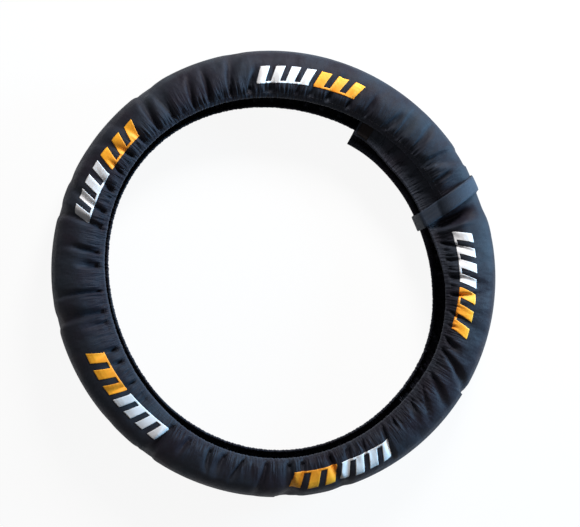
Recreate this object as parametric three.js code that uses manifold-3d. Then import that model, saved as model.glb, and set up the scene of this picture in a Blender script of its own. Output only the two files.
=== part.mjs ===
// A soft cover for a motorcycle tire. One long strip of woven cloth is gathered along both edges, which
// draws it up into a ring with a C-shaped section, open toward the middle. The ring lies on its back face
// and its axis is Z.
// Lengths are in millimetres and angles in degrees.
import * as THREE from 'three';
import { mergeVertices } from 'three/addons/utils/BufferGeometryUtils.js';
import Module from 'manifold-3d';

const wasm = await Module();
wasm.setup();

// The ring
const treadDiameter = 704;      // over the cloth, round the tread
const treadOval = 2.8;          // how far the outline is from a true circle
const treadOvalAngle = -51;
const sectionWidth = 88;        // across the two faces
const shoulderDepth = 46;       // from the tread in to the widest place of the section
const floorSquash = 1;          // how far the folds on the back stand out before the floor flattens them

// The mouth, between the two hems
const hemDepth = 77;            // from the tread in to the hems
const mouthGap = 56;
const hemSpread = 4.8;          // the hems sit off centre, oval and slightly three-cornered
const hemSpreadAngle = -48.5;
const hemOval = 5;
const hemOvalAngle = -68.9;
const hemCorners = 4.7;
const hemCornersAngle = 19.1;
const hemRoll = 4;              // how far the cloth curls back before it ends
const hemRise = 0.62;           // how steeply it falls to the hem
const shoulderEase = 18;        // how far the face stays level, inward of the widest place

// The cloth, and the casings along its edges
const clothWall = 1.3;
const elasticWidth = 8;
const elasticThickness = 1;
const elasticClearance = 0.35;
const stitchMargin = 1;         // cloth between the elastic and the stitches
const seamAllowance = 2.5;      // turned-in cloth past the stitches

// The gathers
const foldCount = 58;           // folds in a full turn
const foldDepth = 4.4;
const foldReach = 24;           // from the hem to where the folds are deepest
const foldLeanAngle = 1.1;
const foldSweepAngle = 3.2;     // extra lean where the cloth was pulled aside
const foldSweepPlaceAngle = -38;
const foldSweepTaper = 6;        // how quickly the sweep dies out round the ring
const foldEndAngles = [2, 9];    // the folds stand upright at the ends of the strip
const foldFreeReach = 32;       // how far from a strap or band the folds are whole again

// The two ends of the strip overlap, with the tail end inside
const tailEndAngle = 61.5;
const overlapAngle = 43;
const faceNest = 7;             // how far the tail lies under the outer end, on the two faces
const treadNest = 3.2;
const nestReleaseAngle = 26;
const tailLip = 30;             // how much further the tail's hems reach toward the middle
const tailLipHoldAngle = 35;
const tailLipEndAngle = 95;
const tailMouthGap = 36;
const tailDip = -0.22;
const tailFoldShare = 0.4;
const coarseStepAngle = 5.4;

// The webbing loop
const strapWidth = 25;
const strapThickness = 1.6;
const strapAngle = 35.4;        // the way it runs across the front
const strapOffset = 65.4;       // how far its plane passes from the ring's centre
const strapClearance = 0.8;
const strapCinch = 8;           // how far it draws each face in
const strapCinchReach = 48;
const strapLap = 40;            // length of the closure, on the back
const strapRamp = 14;
const padThickness = 0.9;
const padMargin = 3;
const padClearance = 0.3;

// The band sewn across the tail end
const bandWidth = 24;
const bandInset = 4;             // from the cut end
const bandThickness = 0.8;
const bandClearance = 0.35;

// The printed film: five places, each with a white and an orange comb of slanted bars
const printPlaces = 5;
const printFirstAngle = 64;     // from the tail end to the middle of the first place
const printPitchAngle = 68.9;
const whiteLength = 80;
const orangeLength = 66;
const printGap = 8;
const whiteBars = 4;
const orangeBars = 3;
const barShare = 0.6;           // bar to pitch
const barLean = 8.5;
const printHeight = 26;
const printStandoff = 22;       // from the hem to the foot of the print
const printLine = 3;
const filmThickness = 0.35;
const filmClearance = 0.3;

const treadRadius = treadDiameter / 2;
const shoulderRadius = treadRadius - shoulderDepth;
const hemRadiusMean = treadRadius - hemDepth;
const sweepAngle = 360 + overlapAngle;
const tunnelWidth = elasticWidth + 2 * elasticClearance;
const tunnelHeight = elasticThickness + 2 * elasticClearance;
const stitchAt = clothWall + tunnelWidth + stitchMargin;
const casingThickness = 2 * clothWall + tunnelHeight;
const treadTurns = [64, 38, 13, -13, -38, -64];

const { lerp, smoothstep, degToRad, radToDeg } = THREE.MathUtils;
const cosDeg = (angle) => Math.cos(degToRad(angle));
const sinDeg = (angle) => Math.sin(degToRad(angle));

// An even scatter between -1 and 1, the same on every run
function scatter(index, seed) {
  const wave = Math.sin(index * 127.1 + seed * 311.7) * 43758.5453;
  return 2 * (wave - Math.floor(wave)) - 1;
}

// Distance from the strap's plane, at an angle and radius
function strapDistance(angle, radius) {
  return Math.abs(radius * sinDeg(strapAngle - angle) - strapOffset);
}

// The shape of the section at a place along the strip. The strip runs clockwise from its tail end.
function sectionAt(along) {
  const angle = tailEndAngle - along;
  const nested = 1 - smoothstep(along, overlapAngle + 1, overlapAngle + nestReleaseAngle);
  const lip = 1 - smoothstep(along, tailLipHoldAngle, tailLipEndAngle);
  const nearStrap = Math.exp(-((strapDistance(angle, shoulderRadius) / strapCinchReach) ** 2));
  const cinch = 1 - (strapCinch / (sectionWidth / 2)) * nearStrap;
  const waves = hemSpread * cosDeg(angle - hemSpreadAngle) + hemOval * cosDeg(2 * (angle - hemOvalAngle))
    + hemCorners * cosDeg(3 * (angle - hemCornersAngle));
  const oval = treadOval * cosDeg(2 * (angle - treadOvalAngle));
  return {
    nested,
    tread: treadRadius + oval - treadNest * nested,
    shoulder: shoulderRadius,
    halfWidth: (sectionWidth / 2 - faceNest * nested) * cinch,
    hemRadius: hemRadiusMean + waves - tailLip * lip,
    hemHeight: (lerp(mouthGap, tailMouthGap, nested) / 2) * cinch,
  };
}

// The part of the section between the shoulder and a hem
function hemCurve(section) {
  const { shoulder, halfWidth, hemRadius, hemHeight, nested } = section;
  const drop = halfWidth - hemHeight;
  return new THREE.CubicBezierCurve(
    new THREE.Vector2(shoulder, halfWidth),
    new THREE.Vector2(shoulder - shoulderEase, halfWidth),
    new THREE.Vector2(
      hemRadius + hemRoll + tailLip * nested,
      hemHeight + lerp(hemRise, tailDip, nested) * drop,
    ),
    new THREE.Vector2(hemRadius, hemHeight),
  );
}

// A point of the cloth's outer face and its outward normal, as radius and height.
// A place is either a turn round the tread or a distance in from one of the hems.
function clothPoint(along, place) {
  const section = sectionAt(along);
  if (place.turn !== undefined) {
    const reach = section.tread - section.shoulder;
    const point = new THREE.Vector2(
      section.shoulder + reach * cosDeg(place.turn),
      section.halfWidth * sinDeg(place.turn),
    );
    const normal = new THREE.Vector2(cosDeg(place.turn) / reach, sinDeg(place.turn) / section.halfWidth);
    normal.normalize();
    return { point, normal };
  }
  const curve = hemCurve(section);
  const share = 1 - Math.max(place.fromHem, 0) / curve.getLength();
  const point = curve.getPointAt(share);
  const tangent = curve.getTangentAt(share);
  point.addScaledVector(tangent, Math.max(-place.fromHem, 0));
  const normal = new THREE.Vector2(tangent.y, -tangent.x);
  if (place.side < 0) {
    point.y *= -1;
    normal.y *= -1;
  }
  return { point, normal };
}

function onRing(along, flat) {
  const angle = tailEndAngle - along;
  return new THREE.Vector3(flat.x * cosDeg(angle), flat.x * sinDeg(angle), flat.y);
}

// Folds fade under the strap and beside the tail band, and are shallow where one layer covers another
function foldStrength(along, radius) {
  const fromStrap = strapDistance(tailEndAngle - along, radius) - strapWidth / 2;
  const fromBand = degToRad(along) * shoulderRadius - bandInset - bandWidth;
  const clearOfStrap = smoothstep(fromStrap, foldFreeReach / 6, foldFreeReach);
  const clearOfBand = smoothstep(fromBand, foldFreeReach / 5, foldFreeReach);
  const covered = 1 - smoothstep(along, overlapAngle, overlapAngle + nestReleaseAngle);
  return clearOfStrap * clearOfBand * lerp(1, tailFoldShare, covered);
}

// Where a row of fold points lies along the strip, and how far each point stands out
function foldSteps(side) {
  const folds = Math.round((sweepAngle / 360) * foldCount);
  const pitch = sweepAngle / folds;
  const steps = [{ along: 0, height: 0 }];
  for (let fold = 0; fold < folds; fold += 1) {
    const start = (fold + 0.22 * scatter(fold, side)) * pitch;
    const end = (fold + 1 + 0.22 * scatter(fold + 1, side)) * pitch;
    const depth = 0.72 + 0.28 * scatter(fold, side + 5);
    if (fold > 0) {
      steps.push({ along: start, height: -0.45 * depth });
    }
    steps.push({ along: lerp(start, end, 0.36), height: depth });
    steps.push({ along: lerp(start, end, 0.7), height: 0.3 * depth });
  }
  steps.push({ along: sweepAngle, height: 0 });
  return steps;
}

function coarseSteps() {
  const count = Math.ceil(sweepAngle / coarseStepAngle);
  return Array.from({ length: count + 1 }, (_, step) => ({ along: (step / count) * sweepAngle, height: 0 }));
}

// Rows of points that run the whole length of the strip
function makeRow(row, vertices) {
  const steps = row.folded ? foldSteps(row.side) : coarseSteps();
  const floor = -(sectionWidth / 2 + floorSquash);
  return steps.map(({ along, height }) => {
    const fromEnds = Math.min(along, sweepAngle - along);
    const angle = tailEndAngle - along;
    const swept = Math.exp(-((sinDeg((angle - foldSweepPlaceAngle) / 2) * foldSweepTaper) ** 2));
    const lean = (foldLeanAngle + foldSweepAngle * swept) * smoothstep(fromEnds, ...foldEndAngles);
    const place = along + lean * (row.folded ?? 0);
    const { point, normal } = clothPoint(place, row);
    const fold = row.folded ? foldDepth * row.folded * height * foldStrength(place, point.x) : 0;
    point.addScaledVector(normal, fold + row.out);
    point.y = Math.max(point.y, floor - row.out);
    vertices.push({ at: onRing(place, point), flat: point, normal: onRing(place, normal), along: place });
    return vertices.length - 1;
  });
}

// Triangles between two rows that may have different numbers of points
function zipRows(rowA, rowB, vertices, triangles) {
  let a = 0;
  let b = 0;
  while (a < rowA.length - 1 || b < rowB.length - 1) {
    const nextA = a < rowA.length - 1 ? vertices[rowA[a + 1]].along : Infinity;
    const nextB = b < rowB.length - 1 ? vertices[rowB[b + 1]].along : Infinity;
    if (nextA <= nextB) {
      triangles.push([rowA[a], rowA[a + 1], rowB[b]]);
      a += 1;
    } else {
      triangles.push([rowA[a], rowB[b + 1], rowB[b]]);
      b += 1;
    }
  }
}

function zipLoop(rows, vertices, triangles, inward = false) {
  const faces = [];
  rows.forEach((row, index) => zipRows(row, rows[(index + 1) % rows.length], vertices, faces));
  triangles.push(...(inward ? faces.map((face) => face.reverse()) : faces));
}

// Closes one end of the strip, leaving the casings open
function capEnd(loops, atEnd, vertices, triangles) {
  const rings = loops.map((rows) => rows.map((row) => (atEnd ? row[row.length - 1] : row[0])));
  const outlines = rings.map((ring) => ring.map((index) => vertices[index].flat));
  const all = rings.flat();
  for (const [a, b, c] of THREE.ShapeUtils.triangulateShape(outlines[0], outlines.slice(1))) {
    const corners = [all[a], all[b], all[c]];
    const area = THREE.ShapeUtils.area(corners.map((index) => vertices[index].flat));
    triangles.push((area > 0) === atEnd ? corners : corners.reverse());
  }
}

function toGeometry(points, triangles) {
  const geometry = new THREE.BufferGeometry();
  const places = points.flatMap((point) => point.toArray());
  geometry.setAttribute('position', new THREE.Float32BufferAttribute(places, 3));
  geometry.setIndex(triangles.flat());
  geometry.computeVertexNormals();
  return geometry;
}

function toSolid(geometry) {
  const bare = geometry.clone();
  const extras = Object.keys(bare.attributes).filter((name) => name !== 'position');
  extras.forEach((name) => bare.deleteAttribute(name));
  const merged = mergeVertices(bare, 1e-4);
  return new wasm.Manifold(new wasm.Mesh({
    numProp: 3,
    vertProperties: Float32Array.from(merged.attributes.position.array),
    triVerts: Uint32Array.from(merged.index.array),
  }));
}

function fromSolid(solid) {
  const { numProp, vertProperties, triVerts } = solid.getMesh();
  const points = [];
  for (let at = 0; at < vertProperties.length; at += numProp) {
    points.push(new THREE.Vector3(...vertProperties.subarray(at, at + 3)));
  }
  return toGeometry(points, [Array.from(triVerts)]);
}

// The rows of the cloth, in order round its section
function clothRows() {
  const hemRows = (side) => [
    { side, fromHem: 0, out: 0, folded: 0.15 },
    { side, fromHem: stitchAt, out: 0, folded: 0.45 },
    { side, fromHem: foldReach, out: 0, folded: 1 },
  ];
  const liningRows = (side) => [
    { side, fromHem: foldReach, out: -clothWall, folded: 1 },
    { side, fromHem: stitchAt + seamAllowance, out: -clothWall, folded: 0.5 },
    { side, fromHem: stitchAt + seamAllowance / 2, out: -casingThickness },
    { side, fromHem: 0, out: -casingThickness },
    { side, fromHem: -clothWall, out: -casingThickness / 2 },
  ];
  return [
    ...hemRows(1),
    ...treadTurns.map((turn) => ({ turn, out: 0 })),
    ...hemRows(-1).reverse(),
    ...liningRows(-1).reverse(),
    ...treadTurns.map((turn) => ({ turn: -turn, out: -clothWall })),
    ...liningRows(1),
  ];
}

// A flat-sided ring of four rows inside a casing: the tunnel, or the elastic that lies in it
function casingRows(side, clearance) {
  const low = clothWall + clearance;
  const high = clothWall + tunnelWidth - clearance;
  const top = -clothWall - clearance;
  const bottom = -clothWall - tunnelHeight + clearance;
  const rows = [
    { side, fromHem: low, out: top },
    { side, fromHem: high, out: top },
    { side, fromHem: high, out: bottom },
    { side, fromHem: low, out: bottom },
  ];
  return side > 0 ? rows : rows.reverse();
}

function makeSleeve() {
  const vertices = [];
  const triangles = [];
  const outside = clothRows().map((row) => makeRow(row, vertices));
  const tunnels = [1, -1].map((side) => casingRows(side, 0).map((row) => makeRow(row, vertices)));
  zipLoop(outside, vertices, triangles);
  tunnels.forEach((rows) => zipLoop(rows, vertices, triangles, true));
  [false, true].forEach((atEnd) => capEnd([outside, ...tunnels], atEnd, vertices, triangles));
  const geometry = toGeometry(vertices.map((vertex) => vertex.at), triangles);
  const skin = [];
  for (let row = 1; row < 4; row += 1) {
    zipRows(outside[row], outside[row + 1], vertices, skin);
  }
  return { geometry, skin, vertices };
}

function makeElastic(side) {
  const vertices = [];
  const triangles = [];
  const rows = casingRows(side, elasticClearance).map((row) => makeRow(row, vertices));
  zipLoop(rows, vertices, triangles);
  [false, true].forEach((atEnd) => capEnd([rows], atEnd, vertices, triangles));
  return toGeometry(vertices.map((vertex) => vertex.at), triangles);
}

// A flat band swept along stations, each with an inner and an outer point on both of its edges
function makeBand(stations) {
  const points = stations.flat();
  const triangles = [[0, 1, 2], [0, 2, 3]];
  for (let start = 0; start < points.length - 4; start += 4) {
    for (let corner = 0; corner < 4; corner += 1) {
      const a = start + corner;
      const b = start + ((corner + 1) % 4);
      triangles.push([a, a + 4, b], [b, a + 4, b + 4]);
    }
  }
  const last = points.length - 4;
  triangles.push([last, last + 2, last + 1], [last, last + 3, last + 2]);
  return toGeometry(points, triangles);
}

const outlinePlaces = [
  ...[0, stitchAt, foldReach].map((fromHem) => ({ side: 1, fromHem })),
  ...treadTurns.map((turn) => ({ turn })),
  ...[foldReach, stitchAt, 0].map((fromHem) => ({ side: -1, fromHem })),
];

function makeTailBand() {
  const edges = [bandInset, bandInset + bandWidth].map((length) => radToDeg(length / shoulderRadius));
  const stations = outlinePlaces.map((place) => {
    const [first, second] = edges.map((along) => {
      const { point, normal } = clothPoint(along, place);
      return [bandClearance, bandClearance + bandThickness].map(
        (out) => onRing(along, point.clone().addScaledVector(normal, out)),
      );
    });
    return [first[0], second[0], second[1], first[1]];
  });
  return makeBand(stations);
}

// The strap's path in one of its planes: over the cloth from hem to hem, and across the mouth. It starts on
// the back, where the loop closes.
function strapPath(offset) {
  const angleAt = (radius) => strapAngle - radToDeg(Math.asin(offset / radius));
  const overCloth = outlinePlaces.map((place) => {
    let point = new THREE.Vector2(treadRadius, 0);
    for (let round = 0; round < 6; round += 1) {
      point = clothPoint(360 + tailEndAngle - angleAt(point.x), place).point;
    }
    return point;
  });
  const tail = sectionAt(tailEndAngle - angleAt(hemRadiusMean - tailLip));
  const mouthRadius = tail.hemRadius - clothWall - strapClearance;
  const mouthHeight = tail.hemHeight + strapClearance;
  const acrossMouth = [-mouthHeight, 0, mouthHeight].map((height) => new THREE.Vector2(mouthRadius, height));
  const inPlane = ({ x, y }) => new THREE.Vector2(Math.sqrt(x ** 2 - offset ** 2), y);
  const loop = [...overCloth, ...acrossMouth].map(inPlane);
  const start = outlinePlaces.length - 4;
  const path = [...loop.slice(start), ...loop.slice(0, start)];
  const faceNormals = path.map((point, index) => {
    const ahead = path[(index + 1) % path.length].clone().sub(point).normalize();
    return new THREE.Vector2(-ahead.y, ahead.x);
  });
  const normals = faceNormals.map((normal, index) => {
    const before = faceNormals[(index + path.length - 1) % path.length];
    return normal.clone().add(before).divideScalar(1 + normal.dot(before));
  });
  return { offset, path, normals };
}

const strapEdges = [strapOffset - strapWidth / 2, strapOffset + strapWidth / 2].map(strapPath);
const strapMiddle = strapPath(strapOffset).path;
const strapCorners = [0];
for (let step = 0; step < strapMiddle.length * 2; step += 1) {
  const [from, to] = [step, step + 1].map((corner) => strapMiddle[corner % strapMiddle.length]);
  strapCorners.push(strapCorners[step] + from.distanceTo(to));
}
const strapLength = strapCorners[strapMiddle.length];
const padEnds = [padMargin, strapLap - padMargin];
const lapPlaces = [...padEnds, strapLap / 4, strapLap / 2].flatMap((place) => [place, strapLength + place]);

// The strap, or a pad on it, between two distances round the loop
function makeStrapPiece(from, to, outAt, thickness) {
  const between = (place) => place > from + 0.5 && place < to - 0.5;
  const ramp = [strapLength - strapRamp, strapLength - padClearance];
  const bends = [...strapCorners, ...ramp, ...lapPlaces].filter(between);
  const stations = [from, ...bends.sort((a, b) => a - b), to].map((distance) => {
    const low = strapCorners.findIndex((corner) => corner > distance) - 1;
    const share = (distance - strapCorners[low]) / (strapCorners[low + 1] - strapCorners[low]);
    const [first, second] = strapEdges.map(({ offset, path, normals }) => {
      const [a, b] = [low % path.length, (low + 1) % path.length];
      const point = path[a].clone().lerp(path[b], share);
      const normal = normals[a].clone().lerp(normals[b], share);
      return [0, thickness].map((layer) => {
        const { x, y } = point.clone().addScaledVector(normal, outAt(distance) + layer);
        return new THREE.Vector3(
          x * cosDeg(strapAngle) + offset * sinDeg(strapAngle),
          x * sinDeg(strapAngle) - offset * cosDeg(strapAngle),
          y,
        );
      });
    });
    return [first[0], second[0], second[1], first[1]];
  });
  return makeBand(stations);
}

// From the inside out, the closure is the strap's first end, the loop pad, the hook pad and its second end
const loopPadOut = strapClearance + strapThickness + padClearance;
const hookPadOut = loopPadOut + padThickness + padClearance;
const strapEndOut = hookPadOut + padThickness + padClearance;

function strapOut(distance) {
  const raised = smoothstep(distance, strapLength - strapRamp, strapLength - padClearance);
  return lerp(strapClearance, strapEndOut, raised);
}

// Slanted bars that stand on a thin line, along an arc that runs clockwise. Lengths are along the foot of
// the print.
function combShape(startAngle, length, bars, foot) {
  const at = (distance, radius) => {
    const angle = startAngle - radToDeg(distance / foot);
    return new THREE.Vector2(radius * cosDeg(angle), radius * sinDeg(angle));
  };
  const pitch = length / (bars - 1 + barShare);
  const outline = [];
  for (let bar = 0; bar <= bars; bar += 1) {
    outline.push(at((bar / bars) * length, foot));
  }
  for (let bar = bars - 1; bar >= 0; bar -= 1) {
    const near = bar * pitch;
    const far = near + barShare * pitch;
    const line = foot + printLine;
    outline.push(at(far, line), at(far + barLean, foot + printHeight));
    outline.push(at(near + barLean, foot + printHeight), at(near, line));
  }
  return new THREE.Shape(outline);
}

// A thin skin over the front of the cloth, between two places along the strip
function filmSkin({ skin, vertices }, from, to) {
  const within = (index) => vertices[index].along > from && vertices[index].along < to;
  const faces = skin.filter((face) => face.every(within));
  const used = [...new Set(faces.flat())];
  const layers = [filmClearance, filmClearance + filmThickness];
  const points = layers.flatMap((out) => used.map(
    (index) => vertices[index].at.clone().addScaledVector(vertices[index].normal, out),
  ));
  const low = (index) => used.indexOf(index);
  const high = (index) => used.indexOf(index) + used.length;
  const triangles = faces.flatMap(([a, b, c]) => [[high(a), high(b), high(c)], [low(a), low(c), low(b)]]);
  const sides = faces.flatMap(([a, b, c]) => [[a, b], [b, c], [c, a]]);
  const paired = new Set(sides.map(([a, b]) => `${b} ${a}`));
  sides.filter(([a, b]) => !paired.has(`${a} ${b}`)).forEach(([a, b]) => {
    triangles.push([low(a), low(b), high(b)], [low(a), high(b), high(a)]);
  });
  return toSolid(toGeometry(points, triangles));
}

function makePrint(sleeve, middle, colour) {
  const white = colour === 'white';
  const foot = sectionAt(middle).hemRadius + printStandoff;
  const toAngle = (length) => radToDeg(length / foot);
  const [length, bars] = white ? [whiteLength, whiteBars] : [orangeLength, orangeBars];
  const before = (whiteLength + printGap + orangeLength) / 2 - (white ? 0 : whiteLength + printGap);
  const start = middle - toAngle(before);
  const shape = combShape(tailEndAngle - start, length, bars, foot);
  const cutter = toSolid(new THREE.ExtrudeGeometry(shape, { depth: sectionWidth, bevelEnabled: false }));
  const margin = foldReach + barLean;
  const film = filmSkin(sleeve, start - toAngle(margin), start + toAngle(length + margin));
  return fromSolid(film.intersect(cutter));
}

const colours = {
  cloth: { color: 0x23262e, roughness: 0.9, metalness: 0 },
  elastic: { color: 0x15161a, roughness: 0.95, metalness: 0 },
  webbing: { color: 0x33363f, roughness: 0.85, metalness: 0 },
  hook: { color: 0x1b1c20, roughness: 0.95, metalness: 0 },
  tape: { color: 0x4a433d, roughness: 0.9, metalness: 0 },
  white: { color: 0xeeeef2, roughness: 0.6, metalness: 0 },
  orange: { color: 0xf59a1d, roughness: 0.6, metalness: 0 },
};

const ring = new THREE.Group();

function addPiece(name, geometry, colour) {
  const mesh = new THREE.Mesh(geometry, new THREE.MeshStandardMaterial(colours[colour]));
  mesh.name = name;
  ring.add(mesh);
}

const sleeve = makeSleeve();
addPiece('cover_sleeve', sleeve.geometry, 'cloth');
addPiece('front_hem_elastic', makeElastic(1), 'elastic');
addPiece('back_hem_elastic', makeElastic(-1), 'elastic');
addPiece('tail_end_band', makeTailBand(), 'tape');

addPiece('closure_strap', makeStrapPiece(0, strapLength + strapLap, strapOut, strapThickness), 'webbing');
addPiece('strap_loop_pad', makeStrapPiece(...padEnds, () => loopPadOut, padThickness), 'hook');
addPiece('strap_hook_pad', makeStrapPiece(...padEnds, () => hookPadOut, padThickness), 'hook');

for (let place = 0; place < printPlaces; place += 1) {
  const middleOfPrint = printFirstAngle + place * printPitchAngle;
  for (const colour of ['white', 'orange']) {
    addPiece(`print_${colour}_${place + 1}`, makePrint(sleeve, middleOfPrint, colour), colour);
  }
}

// The ring stands on the floor plane, and its outline is centred on the axis
const bounds = new THREE.Box3().setFromObject(ring);
const middle = bounds.getCenter(new THREE.Vector3());
ring.position.set(-middle.x, -middle.y, -bounds.min.z);

export default ring;
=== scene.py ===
import math
import time

import bpy
import numpy as np
from mathutils import Matrix


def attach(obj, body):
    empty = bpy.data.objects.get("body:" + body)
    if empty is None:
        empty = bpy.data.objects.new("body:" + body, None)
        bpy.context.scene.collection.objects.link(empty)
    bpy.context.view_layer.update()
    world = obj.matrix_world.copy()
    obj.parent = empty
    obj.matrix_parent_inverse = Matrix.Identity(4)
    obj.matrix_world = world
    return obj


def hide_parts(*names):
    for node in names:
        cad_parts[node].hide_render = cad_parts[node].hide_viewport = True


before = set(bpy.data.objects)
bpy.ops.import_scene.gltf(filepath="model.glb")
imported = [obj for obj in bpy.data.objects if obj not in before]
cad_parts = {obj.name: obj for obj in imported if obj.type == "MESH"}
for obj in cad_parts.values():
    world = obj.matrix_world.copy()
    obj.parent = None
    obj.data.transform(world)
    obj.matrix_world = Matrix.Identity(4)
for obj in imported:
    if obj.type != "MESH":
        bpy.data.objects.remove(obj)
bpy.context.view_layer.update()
startTime = time.time()


def report(stage):
    print(f"{stage}: {time.time() - startTime:.1f} s")


# Ring and section, in metres and degrees, the same sizes as the solid
ring = {
    "centre": (0.00024, 0.00017, 0.045),
    "treadRadius": 0.352,
    "treadOval": 0.0028,
    "treadOvalAngle": -51,
    "halfWidth": 0.044,
    "shoulderDepth": 0.046,
    "hemDepth": 0.077,
    "mouthGap": 0.056,
    "hemWaves": [(0.0048, -48.5), (0.005, -68.9), (0.0047, 19.1)],
    "hemRoll": 0.004,
    "hemRise": 0.62,
    "shoulderEase": 0.018,
}

# The two ends overlap, the tail end inside
tail = {
    "endAngle": 61.5,
    "overlap": 43,
    "faceNest": 0.007,
    "treadNest": 0.0032,
    "release": 26,
    "lip": 0.030,
    "lipHold": 35,
    "lipEnd": 95,
    "mouthGap": 0.036,
    "dip": -0.22,
}

strap = {
    "angle": 35.4,
    "offset": 0.0654,
    "width": 0.025,
    "thickness": 0.0016,
    "clearance": 0.0008,
    "cinch": 0.008,
    "cinchReach": 0.048,
    "lap": 0.040,
    "ramp": 0.014,
}

sweepAngle = 360 + tail["overlap"]
shoulderRadius = ring["treadRadius"] - ring["shoulderDepth"]


def smooth(value, low, high):
    share = np.clip((value - low) / (high - low), 0, 1)
    return share * share * (3 - 2 * share)


def lerp(a, b, share):
    return a + (b - a) * share


def cosDeg(angle):
    return np.cos(np.radians(angle))


def sinDeg(angle):
    return np.sin(np.radians(angle))


# The first wave comes once round the ring, the second twice, and so on
def waves(sizes, angle):
    return sum(size * cosDeg(times * (angle - peak)) for times, (size, peak) in enumerate(sizes, 1))


def fromStrap(angle, radius):
    return np.abs(radius * sinDeg(strap["angle"] - angle) - strap["offset"])


# The C-shaped section at places along the strip, as radius and height from hem to hem
def sectionPath(along):
    along = np.asarray(along, float)[:, None]
    angle = tail["endAngle"] - along
    nested = 1 - smooth(along, tail["overlap"] + 1, tail["overlap"] + tail["release"])
    lip = 1 - smooth(along, tail["lipHold"], tail["lipEnd"])
    nearStrap = np.exp(-((fromStrap(angle, shoulderRadius) / strap["cinchReach"]) ** 2))
    cinch = 1 - strap["cinch"] / ring["halfWidth"] * nearStrap
    tread = ring["treadRadius"] + ring["treadOval"] * cosDeg(2 * (angle - ring["treadOvalAngle"]))
    tread = tread - tail["treadNest"] * nested
    half = (ring["halfWidth"] - tail["faceNest"] * nested) * cinch
    hemRadius = ring["treadRadius"] - ring["hemDepth"] + waves(ring["hemWaves"], angle) - tail["lip"] * lip
    hemHeight = lerp(ring["mouthGap"], tail["mouthGap"], nested) / 2 * cinch
    rollRadius = hemRadius + ring["hemRoll"] + tail["lip"] * nested
    rollHeight = hemHeight + lerp(ring["hemRise"], tail["dip"], nested) * (half - hemHeight)

    t = np.linspace(1, 0, 33)[None, :]
    weights = [(1 - t) ** 3, 3 * t * (1 - t) ** 2, 3 * t * t * (1 - t), t ** 3]
    radii = [shoulderRadius, shoulderRadius - ring["shoulderEase"], rollRadius, hemRadius]
    heights = [half, half, rollHeight, hemHeight]
    faceRadius = sum(weight * radius for weight, radius in zip(weights, radii))
    faceHeight = sum(weight * height for weight, height in zip(weights, heights))
    turn = np.linspace(90, -90, 49)[None, 1:-1]
    treadSide = shoulderRadius + (tread - shoulderRadius) * cosDeg(turn)
    radius = np.concatenate([faceRadius, treadSide, faceRadius[:, ::-1]], axis=1)
    height = np.concatenate([faceHeight, half * sinDeg(turn), -faceHeight[:, ::-1]], axis=1)
    return np.stack([radius, height], axis=2)


# Points at set distances along a line
def pick(at, reach, line):
    return np.stack([np.interp(at, reach, line[:, axis]) for axis in range(line.shape[1])], axis=-1)


# Points across the strip: at set distances in from each hem, and spread evenly between those
def clothBase(along, near, middle):
    path = sectionPath(along)
    steps = np.linalg.norm(np.diff(path, axis=1), axis=2)
    lengths = np.concatenate([np.zeros((len(path), 1)), np.cumsum(steps, axis=1)], axis=1)
    ahead = np.gradient(path, axis=1)
    normals = np.stack([-ahead[:, :, 1], ahead[:, :, 0]], axis=2)
    points, outward = [], []
    for row in range(len(path)):
        total = lengths[row, -1]
        between = lerp(near[-1], total - near[-1], middle)
        places = np.concatenate([near, between, total - near[::-1]])
        points.append(pick(places, lengths[row], path[row]))
        outward.append(pick(places, lengths[row], normals[row]))
    return np.array(points), outward / np.linalg.norm(outward, axis=2, keepdims=True)


def hemPoint(along):
    return clothBase(np.array([along]), np.array([0.0, 0.001]), np.array([0.5]))[0][0, 0]


def toSpace(along, flat, centred=True):
    angle = tail["endAngle"] - np.asarray(along, float)[:, None]
    centre = ring["centre"] if centred else (0, 0, 0)
    x = flat[:, :, 0] * cosDeg(angle) + centre[0]
    y = flat[:, :, 0] * sinDeg(angle) + centre[1]
    return np.stack([x, y, flat[:, :, 1] + centre[2]], axis=2)


def gridFaces(columns, rows, first=0):
    a, r = np.meshgrid(np.arange(columns - 1), np.arange(rows - 1), indexing="ij")
    corner = first + (a * rows + r).ravel()
    return np.stack([corner, corner + rows, corner + rows + 1, corner + 1], axis=1)


# Faces that close the open edge of a patch down to the copy of its points that follows them
def skirtFaces(faces, count):
    sides = np.concatenate([faces[:, [i, (i + 1) % 4]] for i in range(4)])
    keys = sides[:, 0] * count + sides[:, 1]
    rims = sides[~np.isin(sides[:, 1] * count + sides[:, 0], keys)]
    return np.stack([rims[:, 1], rims[:, 0], rims[:, 0] + count, rims[:, 1] + count], axis=1)


# Quads of a closed tube whose rings have so many points
def tubeFaces(rings, around):
    a, r = np.meshgrid(np.arange(rings - 1), np.arange(around), indexing="ij")
    first, second = a.ravel() * around + r.ravel(), a.ravel() * around + (r.ravel() + 1) % around
    return np.stack([first, second, second + around, first + around], axis=1)


def distances(line):
    return np.concatenate([[0], np.cumsum(np.linalg.norm(np.diff(line, axis=0), axis=1))])


def addObject(name, data):
    thing = bpy.data.objects.new(name, data)
    bpy.context.scene.collection.objects.link(thing)
    return thing


def makeMesh(name, points, faces, uvs=None):
    mesh = bpy.data.meshes.new(name)
    mesh.from_pydata(points.tolist(), [], faces.tolist())
    if uvs is not None:
        layer = mesh.uv_layers.new(name="cut")
        loops = np.empty(len(mesh.loops), dtype=np.int32)
        mesh.loops.foreach_get("vertex_index", loops)
        layer.data.foreach_set("uv", uvs[loops].astype(np.float32).ravel())
    mesh.polygons.foreach_set("use_smooth", [True] * len(mesh.polygons))
    mesh.update()
    return addObject(name, mesh)


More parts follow.
